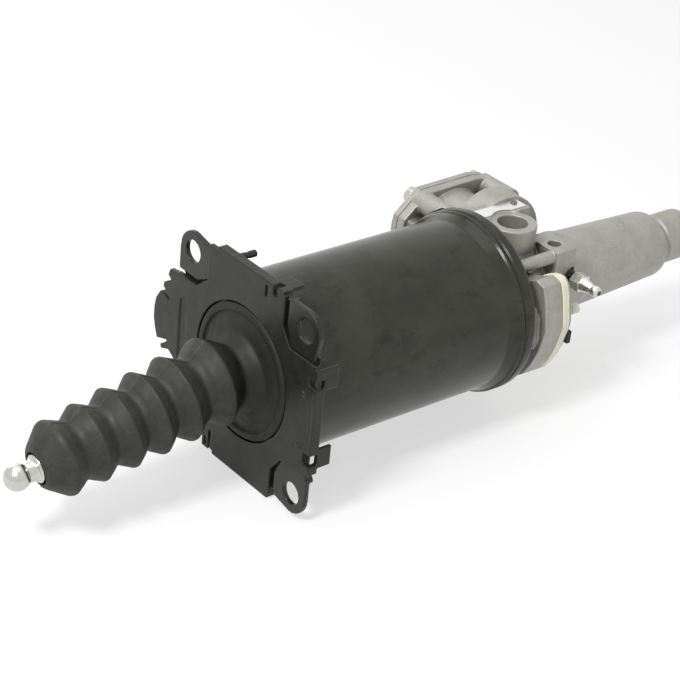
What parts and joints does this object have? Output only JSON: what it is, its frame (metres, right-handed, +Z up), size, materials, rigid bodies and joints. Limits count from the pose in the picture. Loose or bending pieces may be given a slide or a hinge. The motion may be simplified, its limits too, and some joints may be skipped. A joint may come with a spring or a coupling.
{
  "type": "clutch actuator",
  "caption": "Air-assisted hydraulic clutch actuator: square ear flange, black air can, bellows over a ball-ended push rod, cast valve head and hydraulic cylinder.",
  "frame": {"origin": "middle of the four ear holes, on the front mounting face of the steel flange", "axes": "+X along the can from the push rod's ball end to the hydraulic cylinder, +Y towards the valve cover, +Z up towards the two ports"},
  "size_m": [0.4932, 0.1462, 0.1278],
  "materials": {
    "black_painted_steel": "satin black paint",
    "black_plastic": "matt moulded black",
    "black_paint_can": "semi-gloss black paint",
    "black_rubber": "matt moulded rubber",
    "zinc_steel": "bright zinc plate",
    "nylon": "natural nylon",
    "spring_steel": "oiled spring steel",
    "machined_aluminium": "machined",
    "seal_rubber": "matt seal rubber",
    "ground_steel": "ground",
    "cast_aluminium": "sand-cast, matt",
    "bush_bronze": "plain bronze",
    "cream_felt": "cream pad",
    "cream_plastic": "dull grey-cream",
    "bright_plate": "bright, scuffed"
  },
  "bodies": {
    "housing": {"mounting_flange": "black_painted_steel", "flange_cover": "black_plastic", "cylinder_tube": "black_paint_can", "bellows": "black_rubber", "preload_spring": "spring_steel", "servo_body": "cast_aluminium", "tube_seal": "seal_rubber", "plunger_guide_bush": "bush_bronze", "plunger_seal": "seal_rubber", "plunger_wiper": "seal_rubber", "gland_retaining_ring": "spring_steel", "valve_cover": "cast_aluminium", "valve_cover_gasket": "seal_rubber", "valve_cover_screws": "zinc_steel", "control_plunger_seal": "seal_rubber", "valve_return_spring": "spring_steel", "valve_seat": "bush_bronze", "inlet_valve_spring": "spring_steel", "exhaust_filter": "cream_felt", "exhaust_cover": "cast_aluminium", "exhaust_flap": "seal_rubber", "exhaust_cover_screws": "cream_plastic", "identification_plate": "bright_plate", "plate_pin": "bright_plate"},
    "piston": {"air_piston": "machined_aluminium", "piston_hub": "machined_aluminium", "piston_lip_seal": "seal_rubber", "piston_guide_ring": "nylon", "hydraulic_plunger": "ground_steel", "seat_retaining_ring": "spring_steel"},
    "seat": {"rod_seat": "nylon"},
    "rod": {"push_rod": "zinc_steel"},
    "control_piston": {"valve_piston": "machined_aluminium", "control_plunger": "ground_steel", "valve_piston_seal": "seal_rubber"},
    "inlet": {"inlet_valve": "seal_rubber"},
    "bleeder": {"bleed_screw": "zinc_steel"}
  },
  "joints": [
    {"name": "piston_stroke", "type": "slide", "parent": "housing", "child": "piston", "axis": [1, 0, 0], "range_m": [0, 0.075], "deforming": ["bellows", "preload_spring"]},
    {"name": "rod_turn", "type": "hinge", "parent": "piston", "child": "seat", "pos_m": [0.014, 0, 0], "axis": [1, 0, 0], "range_deg": [-180, 180]},
    {"name": "rod_lean", "type": "hinge", "parent": "seat", "child": "rod", "pos_m": [0.014, 0, 0], "axis": [0, -1, 0], "range_deg": [-7.73, 1.2]},
    {"name": "control_stroke", "type": "slide", "parent": "housing", "child": "control_piston", "axis": [0, 1, 0], "range_m": [0, 0.003], "stiffness_N_per_m": 4000, "springref_m": -0.002, "deforming": ["valve_return_spring"]},
    {"name": "inlet_stroke", "type": "slide", "parent": "housing", "child": "inlet", "axis": [0, 1, 0], "range_m": [0, 0.002], "deforming": ["inlet_valve_spring"]},
    {"name": "bleed_turn", "type": "hinge", "parent": "housing", "child": "bleeder", "pos_m": [0.222, -0.03, 0.0125], "axis": [0, -1, 0], "range_deg": [0, 360]}
  ],
  "couplings": [
    {"joint": "inlet_stroke", "follows": "control_stroke", "ratio": 0.6666}
  ]
}
